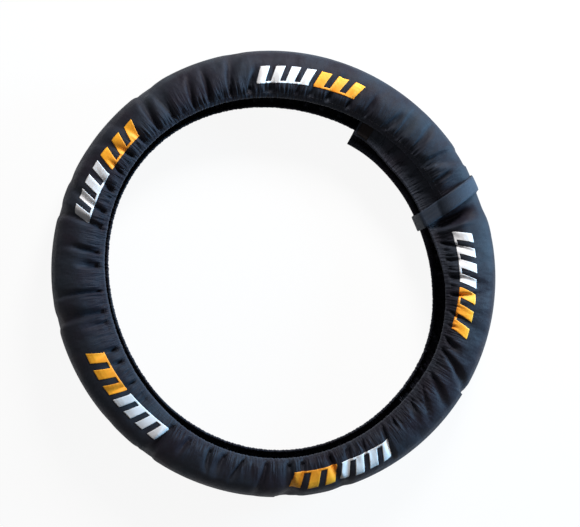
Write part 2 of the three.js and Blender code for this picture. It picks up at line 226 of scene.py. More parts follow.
# Gathers
gathers = {
    "foldCount": 58,
    "sweepPlace": -38,
    "valleyDepth": 0.0132,
    "shortDepth": 0.0037,
    "ridge": 0.0026,
    "seedDepth": 0.0030,
    "simShare": 0.6,
    "foldReach": 0.024,
    "faceReach": 0.060,
    "cap": 0.0065,
    "simColumns": 760,
    "simStep": 0.0037,
    "simFrames": 22,
    "cloth": {"quality": 5, "mass": 0.12, "tension_stiffness": 30, "compression_stiffness": 30,
              "shear_stiffness": 6, "bending_stiffness": 0.12, "air_damping": 4, "pin_stiffness": 1,
              "uniform_pressure_force": 2.0},
    "jitter": 0.22,
}


def scatter(index, seed):
    wave = np.sin(index * 127.1 + seed * 311.7) * 43758.5453
    return 2 * (wave - np.floor(wave)) - 1


# Large folds, in the same places as on the solid
def foldHeights(along, side):
    folds = round(sweepAngle / 360 * gathers["foldCount"])
    pitch = sweepAngle / folds
    places, heights = [0], [0]
    for fold in range(folds):
        start = (fold + gathers["jitter"] * scatter(fold, side)) * pitch
        end = (fold + 1 + gathers["jitter"] * scatter(fold + 1, side)) * pitch
        depth = 0.72 + 0.28 * scatter(fold, side + 5)
        for share, height in ((0, -0.45), (0.36, 1), (0.7, 0.3)):
            if fold > 0 or share > 0:
                places.append(lerp(start, end, share))
                heights.append(height * depth)
    places.append(sweepAngle)
    heights.append(0)
    return np.interp(along, places, heights)


# Valleys between the large folds, and short ones near the hem that run together into them
def foldField(along, fromHem, side):
    along = along[:, None]
    swept = np.exp(-((sinDeg((tail["endAngle"] - along - gathers["sweepPlace"]) / 2) * 6) ** 2))
    reach = fromHem[None, :] / 0.050
    folds = round(sweepAngle / 360 * gathers["foldCount"])
    height = gathers["ridge"] * smooth(reach, 0.14, 0.5) * (1 - smooth(reach, 0.75, 1.5)) + 0 * along
    for count, depth, width, end, salt in (
        (folds, gathers["valleyDepth"], 1.2, 0.088, 20),
        (folds * 3, gathers["shortDepth"], 0.40, 0.034, 40),
    ):
        pitch = sweepAngle / count
        for fold in range(1, count):
            centre = (fold + gathers["jitter"] * scatter(fold, side)) * pitch
            near = np.nonzero(np.abs(along[:, 0] - centre) < 9)[0]
            lean = (1.1 + 1.5 * scatter(fold, side + salt) + 3.4 * swept[near]) * width
            bow = 1.3 * scatter(fold, side + salt + 1) * width
            line = centre + lean * reach + bow * reach ** 2
            spread = width * (0.7 + 0.3 * scatter(fold, side + salt + 2)) * (0.5 + 0.75 * reach)
            away = along[near] - line
            away = np.where(away > 0, away / (1.5 * spread), away / (0.75 * spread))
            last = end * (0.78 + 0.42 * scatter(fold, side + salt + 3))
            strength = 0.70 + 0.30 * scatter(fold, side + salt + 4)
            profile = smooth(fromHem, 0.0065, 0.017) * (1 - smooth(fromHem, last * 0.5, last * 1.12))
            height[near] -= depth * strength * np.exp(-away ** 2) * profile[None, :]
    return height


# How free the cloth is to fold: not under the strap or the tail band, and less where layers lie together
def freedom(along, radius):
    angle = tail["endAngle"] - along
    offStrap = smooth(fromStrap(angle, radius) - strap["width"] / 2, 0.002, 0.024)
    offBand = smooth(np.radians(along) * shoulderRadius, 0.030, 0.050)
    offEnd = smooth(np.radians(sweepAngle - along) * shoulderRadius, 0.0, 0.008)
    return offStrap * offBand * offEnd


def rowPlaces(near, middle):
    share = near / near[-1]
    return np.concatenate([share, 1 + middle, 3 - share[::-1]])


# Weights that carry values from old places to new ones along a smooth curve
def carry(new, old):
    index = np.interp(new, old, np.arange(len(old)))
    low = np.clip(np.floor(index).astype(int), 0, len(old) - 2)
    t = index - low
    curve = [
        -0.5 * t + t ** 2 - 0.5 * t ** 3,
        1 - 2.5 * t ** 2 + 1.5 * t ** 3,
        0.5 * t + 2 * t ** 2 - 1.5 * t ** 3,
        -0.5 * t ** 2 + 0.5 * t ** 3,
    ]
    weights = np.zeros((len(new), len(old)))
    for step, part in enumerate(curve):
        at = np.clip(low + step - 1, 0, len(old) - 1)
        np.add.at(weights, (np.arange(len(new)), at), part)
    return weights


# The strip is cut straight. Cloth springs keep its cut length while the hems hold it short, so
# it gathers.
def simulateGathers():
    along = np.linspace(0, sweepAngle, gathers["simColumns"])
    near = np.arange(0, gathers["faceReach"], gathers["simStep"])
    middle = np.linspace(0, 1, 14)[1:-1]
    flat, outward = clothBase(along, near, middle)
    rows = flat.shape[1]
    base = toSpace(along, flat)
    normals = toSpace(along, outward, centred=False)
    places = rowPlaces(near, middle)
    fromHem = np.minimum(places, 3 - places) * near[-1]
    free = freedom(along[:, None], flat[:, :, 0])
    reach = gathers["foldReach"]
    profile = smooth(fromHem, 0.002, reach) * (1 - smooth(fromHem, reach, 0.056))
    sides = np.where(places < 1.5, 1, -1)
    folds = np.stack([foldHeights(along, side) for side in sides], axis=1)
    columns = np.arange(len(along)) * 1.7
    noise = np.stack([scatter(columns + row * 13.3, 3) for row in range(rows)], axis=1)
    seeds = (gathers["seedDepth"] * folds + 0.0004 * noise) * profile * free
    start = base + normals * seeds[:, :, None]

    piece = makeMesh("gatherTrial", start.reshape(-1, 3), gridFaces(len(along), rows))
    piece.shape_key_add(name="Basis")
    cut = piece.shape_key_add(name="cut")
    length = np.radians(along)[:, None] * (ring["treadRadius"] - 0.004) * np.ones((1, rows))
    cutPoints = np.stack([length, flat[:, :, 0], flat[:, :, 1]], axis=2)
    cut.data.foreach_set("co", cutPoints.reshape(-1).astype(np.float32))

    hold = np.maximum(1 - smooth(fromHem, 0.0045, 0.012), smooth(fromHem, 0.046, 0.057))[None, :]
    hold = np.maximum(hold, 1 - free)
    group = piece.vertex_groups.new(name="hold")
    for level in np.linspace(0.1, 1, 10):
        chosen = np.nonzero(np.abs(np.round(hold.ravel(), 1) - level) < 0.01)[0]
        group.add(chosen.tolist(), float(level), "REPLACE")

    cloth = piece.modifiers.new("Cloth", "CLOTH")
    settings = cloth.settings
    for name, value in gathers["cloth"].items():
        setattr(settings, name, value)
    settings.vertex_group_mass = "hold"
    settings.rest_shape_key = cut
    settings.use_pressure = True
    settings.effector_weights.gravity = 0
    cloth.collision_settings.use_collision = False
    cloth.point_cache.frame_start = 1
    cloth.point_cache.frame_end = gathers["simFrames"]
    scene = bpy.context.scene
    for step in range(1, gathers["simFrames"] + 1):
        scene.frame_set(step)
    shaped = piece.evaluated_get(bpy.context.evaluated_depsgraph_get()).to_mesh()
    moved = np.empty(len(shaped.vertices) * 3, dtype=np.float32)
    shaped.vertices.foreach_get("co", moved)
    scene.frame_set(1)
    bpy.data.objects.remove(piece)
    shift = moved.reshape(base.shape) - base
    size = np.linalg.norm(shift, axis=2, keepdims=True)
    shift *= np.minimum(1, gathers["cap"] / np.maximum(size, 1e-9))
    return along, places, shift


simulated = simulateGathers()
report("gathers")

# Printed places: a comb of slanted bars on a thin line, white and then orange
prints = {
    "places": 5,
    "firstAngle": 64,
    "pitchAngle": 68.9,
    "white": (0.080, 4),
    "orange": (0.066, 3),
    "gap": 0.008,
    "barShare": 0.6,
    "lean": 0.0085,
    "height": 0.026,
    "standoff": 0.022,
    "line": 0.003,
    "cell": 0.0012,
    "lift": 0.00055,
    "film": 0.0003,
    "calm": 0.6,
}

# The sleeve: face rows, folded hems and turned-under ends
sleeve = {
    "near": [0.00215, 0.004, 0.0065, 0.009, 0.011, 0.0125, 0.015, 0.018, 0.021, 0.0245, 0.028, 0.032, 0.037,
             0.042, 0.048, 0.054, 0.060],
    "middleRows": 10,
    "columns": 1580,
    "rollRadius": 0.00215,
    "lining": [(0.0125, 0.0012), (0.011, 0.0013), (0.0097, 0.0036), (0.006, 0.0043), (0.00215, 0.0043)],
    "rollTurns": [135, 90, 45],
    "puckerPitch": 0.0056,
    "puckerDepth": 0.0021,
    "casingPucker": 0.00042,
    "tailShare": 0.4,
    "tailRise": 0.0015,
    "outerSink": 0.0022,
    "endTurn": [(0.012, 0.0016), (0.0004, 0.0016), (0, 0.0008)],
    "edgeSquare": 0.0034,
    "hollow": 0.0165,
    "hollowAngle": 17.6,
    "tailPull": (0.010, 0.002),
    "drift": -0.0018,
    "driftWaves": [(0.0029, -165), (0.0015, -48), (0.0015, 57), (0.0009, 36)],
    "driftReach": 0.050,
    "endCut": 3.5,
    "cutWidth": 0.242,
    "cutLength": 2.476,
}


# The rows on either side of a distance in from the hem, and the share between them
def rowsBeside(back):
    index = np.interp(back, sleeve["near"], np.arange(len(sleeve["near"])))
    low = min(int(index), len(sleeve["near"]) - 2)
    return low, index - low


# Small puckers that start at the hem stitching and run out into the cloth
def puckers(along, fromHem, side):
    along = along[:, None]
    fromHem = fromHem[None, :]
    hemLength = np.radians(sweepAngle) * (ring["treadRadius"] - ring["hemDepth"])
    count = round(hemLength / sleeve["puckerPitch"])
    bend = 0.55 * np.sin(along * 1.31 + side) + 0.35 * np.sin(along * 2.17 + 2 * side)
    bend = bend + 0.5 * np.sin(along * 0.61)
    phase = (along + bend * fromHem / 0.024) / sweepAngle * count
    phase = phase + 0.3 * np.sin(along * 0.93 + 4 * side) + 0.22 * np.sin(along * 2.71 + side)
    which = np.floor(phase)
    strength = 0.62 + 0.38 * scatter(which, 7 + side)
    reach = 0.027 + 0.010 * scatter(which, 11 + side)
    ripple = np.cos(2 * np.pi * phase) + 0.28 * np.cos(4 * np.pi * phase + 1.3 * side)
    onFace = smooth(fromHem, 0.0085, 0.0135) * (1 - smooth(fromHem, reach * 0.45, reach))
    onCasing = 1 - smooth(fromHem, 0.006, 0.0105)
    return ripple * (sleeve["puckerDepth"] * strength * onFace + sleeve["casingPucker"] * onCasing)


# Where the cloth differs from the plain section: squarer tread edges, the outer end drawn in
# under the strap, and the hollow beside the strap
def restShape(along, flat):
    angle = (tail["endAngle"] - along)[:, None]
    radius, height = flat[:, :, 0], flat[:, :, 1]
    onFace = smooth(radius, 0.314, 0.333) * (1 - smooth(radius, 0.336, 0.3475))
    facets = 0.78 + 0.22 * np.sin(angle * 0.83 + np.sign(height)) * np.sin(angle * 0.37 + 1)
    shape = sleeve["edgeSquare"] * onFace * facets
    atEnd = smooth(along, sweepAngle - 14, sweepAngle - 1)[:, None]
    onTread = smooth(radius, 0.318, 0.348)
    shape = shape - atEnd * lerp(tail["faceNest"] - 0.0016, tail["treadNest"] - 0.001, onTread)
    free = smooth(along, tail["overlap"] + 0.5, tail["overlap"] + 5)[:, None]
    nested = 1 - smooth(along, tail["overlap"] + 1, tail["overlap"] + tail["release"])[:, None]
    shape = shape + free * nested * tail["treadNest"] * smooth(radius, 0.320, 0.350)
    away = angle - sleeve["hollowAngle"] - 26 * (radius - 0.290)
    out = (radius - 0.290) / 0.026
    inner = (along < 90)[:, None] * (height > 0) * np.exp(-out ** 4)
    hollow = np.exp(-((away / 1.25) ** 2)) - 0.42 * np.exp(-(((away + 2.9) / 1.1) ** 2))
    return shape - sleeve["hollow"] * hollow * inner


# Ink makes the cloth stiffer, so the folds run out at the printed places
def inkCalm(along, fromHem):
    pitch = prints["pitchAngle"]
    away = np.abs((tail["endAngle"] - along - prints["firstAngle"] + pitch / 2) % pitch - pitch / 2)
    return 1 - prints["calm"] * np.outer(1 - smooth(away, 12, 17), smooth(fromHem, 0.018, 0.030))


# The back hem's own drift inward, which is not the same all the way round
def backDrift(angle):
    return sleeve["drift"] + waves(sleeve["driftWaves"], angle)


# The tail's own hems draw back outward near its end
def tailPull(along, fromHem, half):
    front = sleeve["tailPull"][0] * (1 - smooth(along, 1, 20))[:, None]
    back = sleeve["tailPull"][1] * (1 - smooth(along, 5, 25))[:, None]
    fade = 1 - smooth(fromHem, 0.010, 0.055)[None, :]
    return np.where(np.arange(len(fromHem)) < half, front, back) * fade


def buildSleeve():
    lastAlong = np.linspace(0, sweepAngle, sleeve["columns"])
    turnIn = [(np.degrees(back / shoulderRadius), depth) for back, depth in sleeve["endTurn"]]
    along = np.concatenate([[b for b, _ in turnIn], lastAlong, [sweepAngle - b for b, _ in turnIn[::-1]]])
    inset = np.concatenate([[d for _, d in turnIn], 0 * lastAlong, [d for _, d in turnIn[::-1]]])
    near = np.array(sleeve["near"])
    middle = np.linspace(0, 1, sleeve["middleRows"] + 2)[1:-1]
    flat, outward = clothBase(along, near, middle)
    reach = gathers["faceReach"]
    places = np.concatenate([near / reach, 1 + middle, 3 - near[::-1] / reach])
    fromHem = np.minimum(places, 3 - places) * reach
    normals = toSpace(along, outward, centred=False)
    # The outer end is cut a little short at the tread, so that it lies under the strap
    cutBack = sleeve["endCut"] * smooth(along, sweepAngle - 14, sweepAngle)[:, None]
    cutBack = np.radians(cutBack * smooth(flat[:, :, 0], 0.262, 0.345))
    points = toSpace(along, flat)
    aside = points[:, :, :2] - ring["centre"][:2]
    points[:, :, 0] += aside[:, :, 0] * (np.cos(cutBack) - 1) - aside[:, :, 1] * np.sin(cutBack)
    points[:, :, 1] += aside[:, :, 1] * (np.cos(cutBack) - 1) + aside[:, :, 0] * np.sin(cutBack)

    shift = np.zeros_like(points)
    if simulated:
        simAlong, simPlaces, simShift = simulated
        shift = np.einsum("ai,ijk->ajk", carry(along, simAlong), simShift)
        shift = np.einsum("rj,ajk->ark", carry(places, simPlaces), shift) * gathers["simShare"]
    half = len(places) // 2
    free = freedom(along[:, None], flat[:, :, 0])
    twoSides = ((fromHem[:half], 1), (fromHem[half:], -1))
    folds = np.concatenate([foldField(along, rows, side) for rows, side in twoSides], axis=1)
    shift = shift + normals * (folds * free * inkCalm(along, fromHem))[:, :, None]
    covered = 1 - smooth(along, tail["overlap"] - 4, tail["overlap"] + 6)
    over = smooth(along, 352, 362)
    shift *= lerp(1, sleeve["tailShare"], covered)[:, None, None]
    rise = (shift * normals).sum(axis=2)
    limited = np.clip(rise, np.where(over > 0.5, -sleeve["outerSink"], -1)[:, None],
                      np.where(covered > 0.5, sleeve["tailRise"], 1)[:, None])
    points = points + shift + normals * (limited - rise)[:, :, None]
    small = np.concatenate([puckers(along, rows, side) for rows, side in twoSides], axis=1)
    small *= lerp(0.15, 1, free)
    points = points + normals * (small + restShape(along, flat))[:, :, None]
    radial = toSpace(along, np.ones_like(flat) * [1, 0], centred=False)
    points = points + radial * tailPull(along, fromHem, half)[:, :, None]
    drift = np.outer(backDrift(tail["endAngle"] - along), 1 - smooth(fromHem, 0.004, sleeve["driftReach"]))
    points = points + radial * np.where(np.arange(len(fromHem)) < half, 0, drift)[:, :, None]

    # The hem rolls round the elastic to a flat lining, which the stitching pulls back to the face
    def hemRows(order):
        tip, tipNormal = points[:, order[0]], normals[:, order[0]]
        inward = points[:, order[1]] - tip
        inward /= np.linalg.norm(inward, axis=1, keepdims=True)
        rows = []
        for back, depth in sleeve["lining"]:
            low, share = rowsBeside(back)
            at = lerp(points[:, order[low]], points[:, order[low + 1]], share)
            rows.append(at - lerp(normals[:, order[low]], normals[:, order[low + 1]], share) * depth)
        for turn in sleeve["rollTurns"]:
            sweep = sinDeg(turn) * sleeve["rollRadius"]
            depth = (1 - cosDeg(turn)) * sleeve["rollRadius"]
            rows.append(tip - inward * sweep - tipNormal * depth)
        return rows

    count = len(places)
    front = hemRows(list(range(count)))
    back = hemRows(list(range(count))[::-1])
    grid = np.stack(front + [points[:, row] for row in range(count)] + back[::-1], axis=1)
    allNormals = np.concatenate([np.repeat(normals[:, :1], len(front), 1), normals,
                                 np.repeat(normals[:, -1:], len(back), 1)], axis=1)
    grid = grid - allNormals * inset[:, None, None]
    grid[:, :, 2] = np.maximum(grid[:, :, 2], 0.0002)

    u = np.radians(along)[:, None] * ring["treadRadius"] * np.ones((1, grid.shape[1]))
    steps = np.linalg.norm(np.diff(grid[::40], axis=1), axis=2).mean(axis=0)
    v = np.concatenate([[0], np.cumsum(steps)])[None, :] * np.ones((len(along), 1))
    uvs = np.stack([u, v], axis=2).reshape(-1, 2)
    piece = makeMesh("sleeve", grid.reshape(-1, 3), gridFaces(len(along), grid.shape[1])[:, ::-1], uvs)
    face = {"along": along, "places": places, "points": points, "normals": normals, "radius": flat[:, :, 0],
            "first": len(turnIn), "last": len(turnIn) + len(lastAlong), "hemV": float(v[0, len(front)])}
    return piece, face, float(v[0, -1])


sleevePiece, face, sleeveWidth = buildSleeve()
report("sleeve")


# A point on the finished cloth, from an angle and a radius on the front face
def onFront(angle, radius):
    along = np.where(angle > tail["endAngle"] - tail["overlap"], tail["endAngle"] - angle + 360,
                     tail["endAngle"] - angle)
    along = np.where(along > sweepAngle, along - 360, along)
    chosen = slice(face["first"], face["last"])
    columns = np.arange(face["first"], face["last"])
    column = np.interp(along, face["along"][chosen], columns)
    low = np.clip(column.astype(int), 0, len(face["along"]) - 2)
    share = (column - low)[:, None]
    rowCount = len(face["places"]) // 2
    radii = lerp(face["radius"][low, :rowCount], face["radius"][low + 1, :rowCount], share)
    row = np.array([np.interp(r, line, np.arange(rowCount)) for r, line in zip(radius, radii)])
    below = np.clip(row.astype(int), 0, rowCount - 2)
    part = (row - below)[:, None]

    def blend(values):
        first = lerp(values[low, below], values[low, below + 1], part)
        second = lerp(values[low + 1, below], values[low + 1, below + 1], part)
        return lerp(first, second, share)

    return blend(face["points"]), blend(face["normals"])


def cutFine(start, end, cell):
    return np.linspace(start, end, max(2, int(math.ceil((end - start) / cell)) + 1))


def buildPrint(place, colour):
    middle = prints["firstAngle"] + place * prints["pitchAngle"]
    foot = hemPoint(middle)[0] + prints["standoff"]
    length, bars = prints[colour]
    total = prints["white"][0] + prints["gap"] + prints["orange"][0]
    before = total / 2 - (0 if colour == "white" else prints["white"][0] + prints["gap"])
    startAngle = tail["endAngle"] - (middle - np.degrees(before / foot))
    pitch = length / (bars - 1 + prints["barShare"])
    edges = [edge for bar in range(bars) for edge in (bar * pitch, (bar + prints["barShare"]) * pitch)]
    across = [cutFine(a, b, prints["cell"]) for a, b in zip(edges[:-1], edges[1:])]
    u = np.concatenate([part[:-1] for part in across] + [[length]])
    isBar = np.concatenate([[index % 2 == 0] * (len(part) - 1) for index, part in enumerate(across)])
    up = np.concatenate([cutFine(0, prints["line"], prints["cell"])[:-1],
                         cutFine(prints["line"], prints["height"], prints["cell"])])
    lean = prints["lean"] * np.clip((up - prints["line"]) / (prints["height"] - prints["line"]), 0, 1)
    uu, vv = np.meshgrid(u, up, indexing="ij")
    angle = startAngle - np.degrees((uu + lean[None, :]) / foot)
    at, out = onFront(angle.ravel(), (foot + vv).ravel())
    top = at + out * prints["lift"]
    faces = gridFaces(len(u), len(up))
    cellUp = np.tile(up[:-1], len(u) - 1) >= prints["line"] - 1e-6
    cellBar = np.repeat(isBar, len(up) - 1)
    faces = faces[~cellUp | cellBar]
    points = np.concatenate([top, at + out * (prints["lift"] - prints["film"])])
    uvs = np.tile(np.stack([uu.ravel(), vv.ravel()], axis=1), (2, 1))
    allFaces = np.concatenate([faces, skirtFaces(faces, len(top))])
    used, compact = np.unique(allFaces, return_inverse=True)
    return makeMesh(f"{colour}Print{place + 1}", points[used], compact.reshape(-1, 4), uvs[used])


printPieces = {}
for place in range(prints["places"]):
    for colour in ("white", "orange"):
        printPieces[f"print_{colour}_{place + 1}"] = buildPrint(place, colour)
report("prints")

# Closing strap: a loop of webbing in a plane across the ring, closed behind it
webbing = {
    "across": 9,
    "edgeRound": 0.0006,
    "padThickness": 0.0009,
    "padGap": 0.0003,
    "padMargin": 0.003,
    "stationStep": 0.0035,
}


def strapLines():
    lines = []
    alongs = np.linspace(360 + tail["endAngle"] - 34, 360 + tail["endAngle"] - 10, 97)
    near = np.array([0.0, 0.002, 0.004, 0.007, 0.011, 0.015, 0.020, 0.026, 0.033, 0.041, 0.050])
    middle = np.linspace(0, 1, 20)[1:-1]
    flat, _ = clothBase(alongs, near, middle)
    angles = tail["endAngle"] + 360 - alongs
    drift = np.outer(backDrift(angles), 1 - smooth(near[::-1], 0.004, sleeve["driftReach"]))
    flat[:, -len(near):, 0] += drift
    offsets = strap["offset"] + np.linspace(-0.5, 0.5, webbing["across"]) * strap["width"]
    for offset in offsets:
        miss = flat[:, :, 0] * sinDeg(strap["angle"] - angles)[:, None] - offset
        line = []
        for row in range(flat.shape[1]):
            at = np.interp(0, miss[:, row], alongs)
            radius = np.interp(at, alongs, flat[:, row, 0])
            line.append([math.sqrt(radius ** 2 - offset ** 2), np.interp(at, alongs, flat[:, row, 1])])
        lines.append(line)
    return offsets, np.array(lines)


def strapLoop():
    offsets, lines = strapLines()
    lip = tail["lip"]
    hem = ring["treadRadius"] - ring["hemDepth"] - lip
    mouth = []
    for offset in offsets:
        angle = strap["angle"] - np.degrees(math.asin(offset / hem))
        radius, height = hemPoint(tail["endAngle"] - angle)
        x = math.sqrt((radius - 0.0013 - strap["clearance"]) ** 2 - offset ** 2)
        high = height + strap["clearance"]
        drift = backDrift(angle)
        heights = np.linspace(-high, high, 9)
        mouth.append([[x + drift * (0.5 - 0.5 * height / high), height] for height in heights])
    whole = np.concatenate([lines, np.array(mouth)], axis=1)
    middle = whole[len(offsets) // 2]
    backShoulder = int(np.argmin(np.abs(np.degrees(np.arctan2(middle[:, 1], middle[:, 0] - 0.3)) + 64)
                                 + 1000 * (middle[:, 1] > 0)))
    return offsets, np.roll(whole, -backShoulder, axis=1)


def bandMesh(name, offsets, loop, start, end, outAt, thickness, rounding):
    closed = np.concatenate([loop, loop, loop[:, :1]], axis=1)
    middle = closed[len(offsets) // 2]
    reach = distances(middle)
    stations = cutFine(start, end, webbing["stationStep"])
    side = np.abs(np.linspace(-1, 1, len(offsets)))
    cosTurn, sinTurn = cosDeg(strap["angle"]), sinDeg(strap["angle"])
    points, uvs = [], []
    for station in stations:
        low, high = [], []
        for index in range(len(offsets)):
            line = closed[index]
            at = pick(station, reach, line)
            ahead = pick(station + 0.002, reach, line) - pick(max(station - 0.002, 0), reach, line)
            ahead /= np.linalg.norm(ahead)
            normal = np.array([-ahead[1], ahead[0]])
            thin = rounding * (side[index] > 0.99)
            for rows, out in ((low, outAt(station) + thin), (high, outAt(station) + thickness - thin)):
                x, z = at + normal * out
                rows.append([x * cosTurn + offsets[index] * sinTurn + ring["centre"][0],
                             x * sinTurn - offsets[index] * cosTurn + ring["centre"][1],
                             z + ring["centre"][2]])
        points.extend(low + high[::-1])
        uvs.extend([station, offset] for offset in [*offsets, *offsets[::-1]])
    around = 2 * len(offsets)
    faces = tubeFaces(len(stations), around)
    count = len(offsets)
    caps = []
    for base, flip in ((0, False), ((len(stations) - 1) * around, True)):
        for index in range(count - 1):
            quad = [base + index, base + around - 1 - index, base + around - 2 - index, base + index + 1]
            caps.append(quad[::-1] if flip else quad)
    return makeMesh(name, np.array(points), np.concatenate([faces, np.array(caps)]), np.array(uvs))


strapOffsets, strapShape = strapLoop()
strapMiddle = np.concatenate([strapShape[webbing["across"] // 2], strapShape[webbing["across"] // 2][:1]])
strapLength = float(distances(strapMiddle)[-1])
loopPadOut = strap["clearance"] + strap["thickness"] + webbing["padGap"]
hookPadOut = loopPadOut + webbing["padThickness"] + webbing["padGap"]
strapEndOut = hookPadOut + webbing["padThickness"] + webbing["padGap"]


def strapOut(distance):
    return float(lerp(strap["clearance"], strapEndOut, smooth(distance, strapLength - strap["ramp"],
                                                               strapLength - webbing["padGap"])))


strapPiece = bandMesh("strap", strapOffsets, strapShape, 0, strapLength + strap["lap"], strapOut,
                      strap["thickness"], webbing["edgeRound"])
padEnds = (webbing["padMargin"], strap["lap"] - webbing["padMargin"])
loopPad = bandMesh("strapLoopPad", strapOffsets, strapShape, *padEnds, lambda distance: loopPadOut,
                   webbing["padThickness"], 0.0002)
hookPad = bandMesh("strapHookPad", strapOffsets, strapShape, *padEnds, lambda distance: hookPadOut,
                   webbing["padThickness"], 0.0002)
report("strap")

# Flat elastic inside each casing
elastic = {"from": 0.0020, "to": 0.0096, "top": 0.0016, "bottom": 0.0025}


def buildElastic(name, side):
    chosen = slice(face["first"], face["last"], 2)
    order = np.arange(len(face["places"]))[::side]
    corners = []
    for back, depth in (("from", "top"), ("to", "top"), ("to", "bottom"), ("from", "bottom")):
        low, share = rowsBeside(elastic[back])
        at = lerp(face["points"][chosen, order[low]], face["points"][chosen, order[low + 1]], share)
        corners.append(at - face["normals"][chosen, order[low]] * elastic[depth])
    points = np.stack(corners, axis=1)
    count = len(points)
    caps = [[0, 1, 2, 3], [4 * count - 1, 4 * count - 2, 4 * count - 3, 4 * count - 4]]
    faces = np.concatenate([tubeFaces(count, 4)[:, [0, 3, 2, 1]], caps])
    u = np.arange(count)[:, None] * 0.0024 * np.ones((1, 4))
    v = np.ones((count, 1)) * np.array([[0, 0.0076, 0.0076, 0]])
    return makeMesh(name, points.reshape(-1, 3), faces, np.stack([u, v], axis=2).reshape(-1, 2))


elasticPieces = {"front_hem_elastic": buildElastic("frontElastic", 1),
                 "back_hem_elastic": buildElastic("backElastic", -1)}

# Flat band across the tail end
endBand = {"inset": 0.004, "width": 0.024, "thickness": 0.0008, "gap": 0.0004, "rows": 14}


def buildEndBand():
    start = np.degrees(endBand["inset"] / shoulderRadius)
    end = np.degrees((endBand["inset"] + endBand["width"]) / shoulderRadius)
    along = np.linspace(start, end, endBand["rows"])
    columns = slice(face["first"], face["last"])
    weights = carry(along, face["along"][columns])
    points = np.einsum("ac,crk->ark", weights, face["points"][columns])
    normals = np.einsum("ac,crk->ark", weights, face["normals"][columns])
    edge = np.minimum(np.linspace(0, 1, endBand["rows"]), np.linspace(1, 0, endBand["rows"]))
    high = endBand["gap"] + endBand["thickness"] * (0.55 + 0.45 * smooth(edge, 0, 0.12))
    top = points + normals * high[:, None, None]
    low = points + normals * endBand["gap"]
    rows = points.shape[1]
    faces = gridFaces(len(along), rows)
    under = gridFaces(len(along), rows, first=len(along) * rows)[:, ::-1]
    allFaces = np.concatenate([faces, under, skirtFaces(faces, len(along) * rows)])
    u = np.radians(along)[:, None] * shoulderRadius * np.ones((1, rows))
    v = np.ones((len(along), 1)) * np.arange(rows)[None, :] * 0.008
    uvs = np.tile(np.stack([u, v], axis=2).reshape(-1, 2), (2, 1))
    meshPoints = np.concatenate([top.reshape(-1, 3), low.reshape(-1, 3)])
    return makeMesh("tailBand", meshPoints, allFaces[:, ::-1], uvs)


bandPiece = buildEndBand()

# Sewing thread along both hems
thread = {"pitch": 0.0031, "length": 0.0025, "radius": 0.00022, "fromHem": 0.0108, "lift": 0.00012}


def buildStitches(name, side):
    chosen = slice(face["first"], face["last"])
    row = int(np.argmin(np.abs(np.array(sleeve["near"]) - thread["fromHem"])))
    row = row if side > 0 else len(face["places"]) - 1 - row
    line, normals = face["points"][chosen, row], face["normals"][chosen, row]
    reach = distances(line)
    starts = np.arange(0.004, reach[-1] - 0.006, thread["pitch"])
    points, faces = [], []
    for start in starts:
        for share, size in zip((0, 0.2, 0.8, 1), (0.25, 1, 1, 0.25)):
            at = start + share * thread["length"]
            centre = pick(at, reach, line)
            ahead = pick(at + 0.001, reach, line) - centre
            ahead /= np.linalg.norm(ahead)
            out = pick(at, reach, normals)
            aside = np.cross(ahead, out)
            lift = thread["lift"] - 0.0004 * (size < 1)
            for turn in (0, 90, 180, 270):
                reachOut = thread["radius"] * size
                rise = out * (lift + reachOut * cosDeg(turn))
                points.append(centre + rise + aside * reachOut * sinDeg(turn))
    for stitch in range(len(starts)):
        for step in range(3):
            base = stitch * 16 + step * 4
            for corner in range(4):
                after = (corner + 1) % 4
                faces.append([base + corner, base + after, base + 4 + after, base + 4 + corner])
        faces.append([stitch * 16 + corner for corner in (3, 2, 1, 0)])
        faces.append([stitch * 16 + 12 + corner for corner in range(4)])
    return makeMesh(name, np.array(points), np.array(faces))


stitchPieces = [buildStitches("frontStitches", 1), buildStitches("backStitches", -1)]
report("band and stitches")


# Finishes
finishes = {
    "cloth": (0.0105, 0.0090, 0.0145),
    "clothPale": (0.0225, 0.0300, 0.0410),
    # Hem edge colour: partly wear, partly a painted highlight
    "clothWornAndHighlight": (0.040, 0.044, 0.060),
    "webbing": (0.0145, 0.020, 0.031),
    # Tape colour: its own dark brown, darkened further as painted shade for the shadow the tail band lies
    # in
    "tape": (0.011, 0.0088, 0.0090),
    "white": (0.76, 0.75, 0.77),
    "orange": (0.92, 0.31, 0.018),
    "orangeLight": (0.98, 0.42, 0.020),
    "thread": (0.020, 0.021, 0.027),
    "elastic": (0.009, 0.009, 0.011),
    "hook": (0.012, 0.012, 0.014),
    "floor": (0.93, 0.93, 0.93),
}


# A new material, with its shader, its place on the cut cloth and its place in the room
def startMaterial(name, colour, roughness, shine=0.35):
    material = bpy.data.materials.new(name)
    material.use_nodes = True
    tree = material.node_tree
    shader = tree.nodes["Principled BSDF"]
    shader.inputs["Base Color"].default_value = (*colour, 1)
    shader.inputs["Roughness"].default_value = roughness
    shader.inputs["Specular IOR Level"].default_value = shine
    place = addNode(tree, "TexCoord")
    return material, tree, shader, place.outputs["UV"], place.outputs["Object"]


def addNode(tree, kind, numbers={}, **settings):
    node = tree.nodes.new("ShaderNode" + kind)
    for socket, number in numbers.items():
        node.inputs[socket].default_value = number
    for name, value in settings.items():
        setattr(node, name, value)
    return node


def shade(colour, share):
    return tuple(value * share for value in colour)


def join(tree, source, node, socket):
    tree.links.new(source, node.inputs[socket])


# A socket takes a number or a colour, or else a link from another node
def fill(tree, value, socket):
    if isinstance(value, tuple):
        socket.default_value = (*value, 1)
    elif isinstance(value, (int, float)):
        socket.default_value = value
    else:
        tree.links.new(value, socket)


def calc(tree, operation, first, second=None, third=None, clamp=False):
    node = addNode(tree, "Math", operation=operation, use_clamp=clamp)
    for index, value in enumerate((first, second, third)):
        if value is not None:
            fill(tree, value, node.inputs[index])
    return node.outputs[0]


